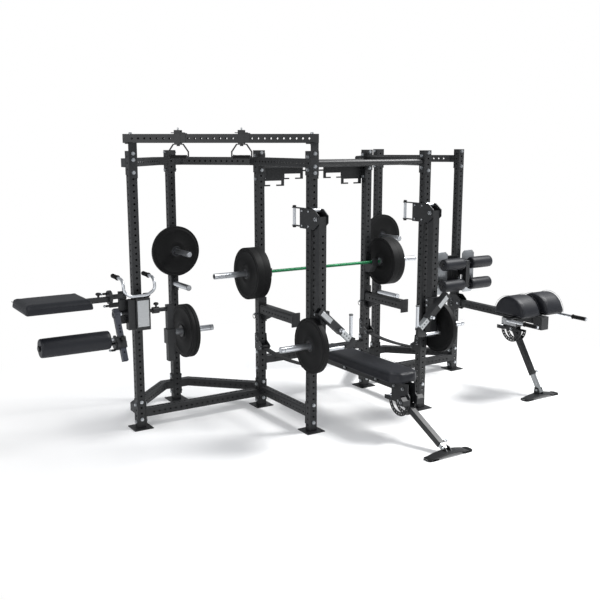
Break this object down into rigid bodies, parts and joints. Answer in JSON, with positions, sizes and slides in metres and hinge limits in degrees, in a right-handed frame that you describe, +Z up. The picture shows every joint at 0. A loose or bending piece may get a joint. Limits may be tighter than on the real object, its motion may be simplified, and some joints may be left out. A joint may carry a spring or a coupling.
{
  "type": "power cage",
  "caption": "Power cage with two wings, a barbell on hooks, swinging jammer arms, a bench on an adjustable leg, a leg machine and a back extension station.",
  "frame": {"origin": "middle of the four cage uprights at floor level", "axes": "+Z up, +X to the right as seen from the front, -Y towards the front, where the bench is entered"},
  "size_m": [4.82, 2.5805, 2.48],
  "materials": {
    "powder_coat": "fine textured powder coat",
    "zinc": "zinc plated",
    "chrome": "polished",
    "silver_tube": "satin",
    "slate_tube": "satin powder coat",
    "plate": "brushed",
    "green_bar": "coloured coating",
    "bumper": "matt rubber with a moulded grain",
    "black_plastic": "matt",
    "webbing": "woven",
    "vinyl": "soft grained vinyl"
  },
  "bodies": {
    "frame": {"uprights_cage_rear": "powder_coat", "uprights_cage_front": "powder_coat", "uprights_wing": "powder_coat", "uprights_apex": "powder_coat", "bent_beams_low_left": "powder_coat", "bent_beams_low_right": "powder_coat", "bent_beams_top_left": "powder_coat", "bent_beams_top_right": "powder_coat", "depth_beams_low": "powder_coat", "depth_beams_top": "powder_coat", "wing_beams_low": "powder_coat", "pullup_bar": "powder_coat", "hook_member": "powder_coat", "bench_crossmember": "powder_coat", "raised_beam": "powder_coat", "frame_bolts": "zinc", "tube_plugs": "black_plastic", "j_cups": "powder_coat", "spotter_arms": "powder_coat", "strap_brackets": "powder_coat", "straps": "webbing", "storage_pegs": "powder_coat", "storage_discs": "bumper", "bench_frame": "powder_coat", "bench_pad": "vinyl", "ghd_beam": "powder_coat", "ankle_frame": "powder_coat"},
    "handle_left": {"pullup_handle_left": "powder_coat"},
    "handle_right": {"pullup_handle_right": "powder_coat"},
    "barbell": {"barbell_shaft": "green_bar"},
    "sleeve_left": {"barbell_sleeve_left": "chrome", "barbell_discs_left": "bumper"},
    "sleeve_right": {"barbell_sleeve_right": "chrome", "barbell_discs_right": "bumper"},
    "carriage_left": {"jammer_carriage_left": "powder_coat"},
    "arm_left": {"jammer_arm_left": "powder_coat", "jammer_disc_left": "bumper"},
    "grip_left": {"jammer_grip_left": "silver_tube"},
    "carriage_right": {"jammer_carriage_right": "powder_coat"},
    "arm_right": {"jammer_arm_right": "powder_coat", "jammer_disc_right": "bumper"},
    "grip_right": {"jammer_grip_right": "silver_tube"},
    "trolley": {"leg_trolley": "powder_coat", "leg_panel": "plate", "leg_handle": "chrome"},
    "lever": {"leg_weight_arm": "powder_coat", "leg_lever": "slate_tube", "leg_discs": "bumper"},
    "slider": {"leg_slider": "powder_coat"},
    "foam_roller": {"leg_foam_roller": "vinyl"},
    "pad_arm": {"leg_pad_arm": "powder_coat", "leg_pad": "vinyl"},
    "bench_leg": {"bench_leg": "slate_tube"},
    "bench_foot": {"bench_foot": "silver_tube"},
    "back_leg": {"ghd_leg": "powder_coat"},
    "back_foot": {"ghd_foot": "silver_tube"},
    "back_carriage": {"ghd_carriage": "powder_coat", "ghd_pads": "vinyl"},
    "ankle_upper": {"ankle_rollers_upper": "vinyl"},
    "ankle_lower": {"ankle_rollers_lower": "vinyl"}
  },
  "joints": [
    {"name": "handle_left_swivel", "type": "hinge", "parent": "frame", "child": "handle_left", "pos_m": [-1.44469, 0.19722, 2.279], "axis": [0, 0, 1], "range_deg": [-90, 90]},
    {"name": "handle_right_swivel", "type": "hinge", "parent": "frame", "child": "handle_right", "pos_m": [-1.03528, -0.09672, 2.279], "axis": [0, 0, 1], "range_deg": [-90, 90]},
    {"name": "barbell_lift", "type": "slide", "parent": "frame", "child": "barbell", "axis": [0, 0, 1], "range_m": [0, 0.35]},
    {"name": "sleeve_left_spin", "type": "hinge", "parent": "barbell", "child": "sleeve_left", "pos_m": [-0.88, 0.3, 1.249], "axis": [1, 0, 0], "continuous": true},
    {"name": "sleeve_right_spin", "type": "hinge", "parent": "barbell", "child": "sleeve_right", "pos_m": [0.88, 0.3, 1.249], "axis": [1, 0, 0], "continuous": true},
    {"name": "jammer_left_height", "type": "slide", "parent": "frame", "child": "carriage_left", "axis": [0, 0, 1], "range_m": [-0.45, 0.2]},
    {"name": "jammer_left_swing", "type": "hinge", "parent": "carriage_left", "child": "arm_left", "pos_m": [-0.585, -0.547, 1.775], "axis": [-1, 0, 0], "range_deg": [0, 100]},
    {"name": "jammer_left_reach", "type": "slide", "parent": "arm_left", "child": "grip_left", "axis": [0.7466, 0, -0.6652], "range_m": [0, 0.08]},
    {"name": "jammer_right_height", "type": "slide", "parent": "frame", "child": "carriage_right", "axis": [0, 0, 1], "range_m": [-0.45, 0.2]},
    {"name": "jammer_right_swing", "type": "hinge", "parent": "carriage_right", "child": "arm_right", "pos_m": [0.585, -0.547, 1.775], "axis": [-1, 0, 0], "range_deg": [0, 100]},
    {"name": "jammer_right_reach", "type": "slide", "parent": "arm_right", "child": "grip_right", "axis": [-0.7466, 0, -0.6652], "range_m": [0, 0.08]},
    {"name": "leg_machine_height", "type": "slide", "parent": "frame", "child": "trolley", "axis": [0, 0, 1], "range_m": [-0.35, 0.45]},
    {"name": "leg_lever_swing", "type": "hinge", "parent": "trolley", "child": "lever", "pos_m": [-1.855, 0.34, 1.01], "axis": [-1, 0, 0], "range_deg": [0, 60]},
    {"name": "leg_roller_height", "type": "slide", "parent": "lever", "child": "slider", "axis": [0, 0.4305, 0.9026], "range_m": [-0.05, 0.05]},
    {"name": "leg_roller_spin", "type": "hinge", "parent": "slider", "child": "foam_roller", "pos_m": [-2.33, 0.23005, 0.83601], "axis": [1, 0, 0], "continuous": true},
    {"name": "leg_pad_tilt", "type": "hinge", "parent": "trolley", "child": "pad_arm", "pos_m": [-2.016, 0.34, 1.155], "axis": [-1, 0, 0], "range_deg": [0, 20]},
    {"name": "bench_leg_angle", "type": "hinge", "parent": "frame", "child": "bench_leg", "pos_m": [0, -0.885, 0.292], "axis": [-1, 0, 0], "range_deg": [0, 45]},
    {"name": "bench_foot_reach", "type": "slide", "parent": "bench_leg", "child": "bench_foot", "axis": [0, -0.8918, -0.4524], "range_m": [-0.025, 0]},
    {"name": "back_leg_angle", "type": "hinge", "parent": "frame", "child": "back_leg", "pos_m": [1.755, -0.423, 0.599], "axis": [-1, 0, 0], "range_deg": [0, 50]},
    {"name": "back_foot_reach", "type": "slide", "parent": "back_leg", "child": "back_foot", "axis": [0, -0.5388, -0.8425], "range_m": [-0.09, 0]},
    {"name": "back_pad_travel", "type": "slide", "parent": "frame", "child": "back_carriage", "axis": [0, 1, 0], "range_m": [-0.01, 0.4]},
    {"name": "ankle_upper_spin", "type": "hinge", "parent": "frame", "child": "ankle_upper", "pos_m": [1.755, 0.26, 1.153], "axis": [1, 0, 0], "continuous": true},
    {"name": "ankle_lower_spin", "type": "hinge", "parent": "frame", "child": "ankle_lower", "pos_m": [1.755, 0.26, 0.935], "axis": [1, 0, 0], "continuous": true}
  ]
}
